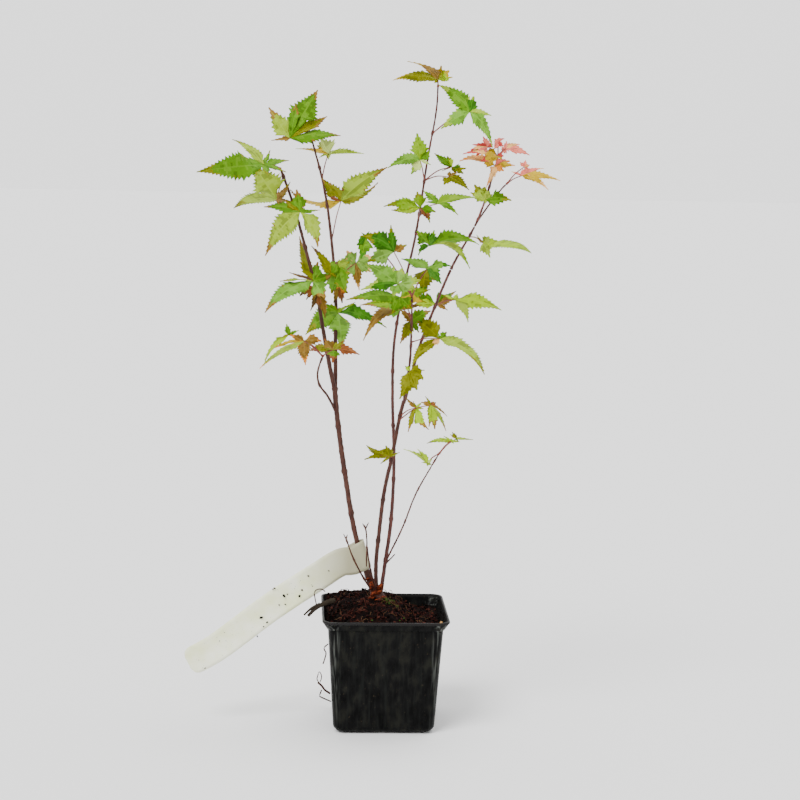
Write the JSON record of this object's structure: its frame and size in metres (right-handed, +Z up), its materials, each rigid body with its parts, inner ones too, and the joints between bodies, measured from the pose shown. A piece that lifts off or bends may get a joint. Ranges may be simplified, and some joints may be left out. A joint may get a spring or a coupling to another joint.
{
  "type": "potted young maple",
  "caption": "Slender young maple with palmate leaves on thin branching stems in a filled square nursery pot, with a blank loop label hanging from the stem.",
  "frame": {"origin": "middle of the flat underside of the pot", "axes": "+Z up, X and Y along the pot's sides, -Y towards the viewer of the picture and the label hanging towards -X"},
  "size_m": [0.3271, 0.22, 0.5732],
  "materials": {
    "pot": "black moulded plastic, half glossy",
    "soil": "dark crumbly peat and bark",
    "bark": "smooth red-brown bark",
    "twig": "smooth red-brown young bark",
    "label": "plain white flexible strip",
    "foliage_green": "thin green leaves",
    "foliage_bright": "thin yellow-green leaves",
    "foliage_orange": "thin leaves tinged orange-brown",
    "foliage_red": "thin young leaves, pink and orange"
  },
  "bodies": {
    "root": {"pot": "pot", "soil": "soil", "trunk": "bark", "left_leader": "bark", "second_leader": "bark", "curved_twig": "twig", "middle_stem": "bark", "middle_leader": "bark", "right_leader": "bark", "right_twig": "twig", "tall_stem": "bark", "low_twig": "twig", "short_stub": "twig", "bare_twig_left": "twig", "bare_twig_front": "twig", "bare_twig_back": "twig", "plant_label": "label", "leaves_left_top": "foliage_green", "leaves_far_left": "foliage_green", "leaves_left_shoulder": "foliage_green", "leaves_between": "foliage_green", "leaves_left_middle": "foliage_green", "leaves_left_inner": "foliage_green", "leaves_pale_back": "foliage_green", "leaves_left_bright": "foliage_green", "leaves_left_orange": "foliage_orange", "leaves_middle_upper": "foliage_green", "leaves_middle_serrate": "foliage_green", "leaves_right_arched": "foliage_green", "leaves_right_yellow": "foliage_bright", "leaves_right_low_tip": "foliage_bright", "leaves_centre_arched": "foliage_green", "leaves_centre_left": "foliage_green", "leaves_centre_right": "foliage_green", "leaves_upper_left": "foliage_green", "leaves_upper_curled": "foliage_green", "leaves_upper_right": "foliage_green", "leaves_top": "foliage_orange", "leaves_red_tip": "foliage_red", "leaves_far_right": "foliage_orange", "leaves_right_dark": "foliage_green", "leaves_low_round": "foliage_orange", "leaves_hanging": "foliage_bright", "leaves_low_bright": "foliage_bright", "leaves_low_tip": "foliage_bright"}
  },
  "joints": []
}
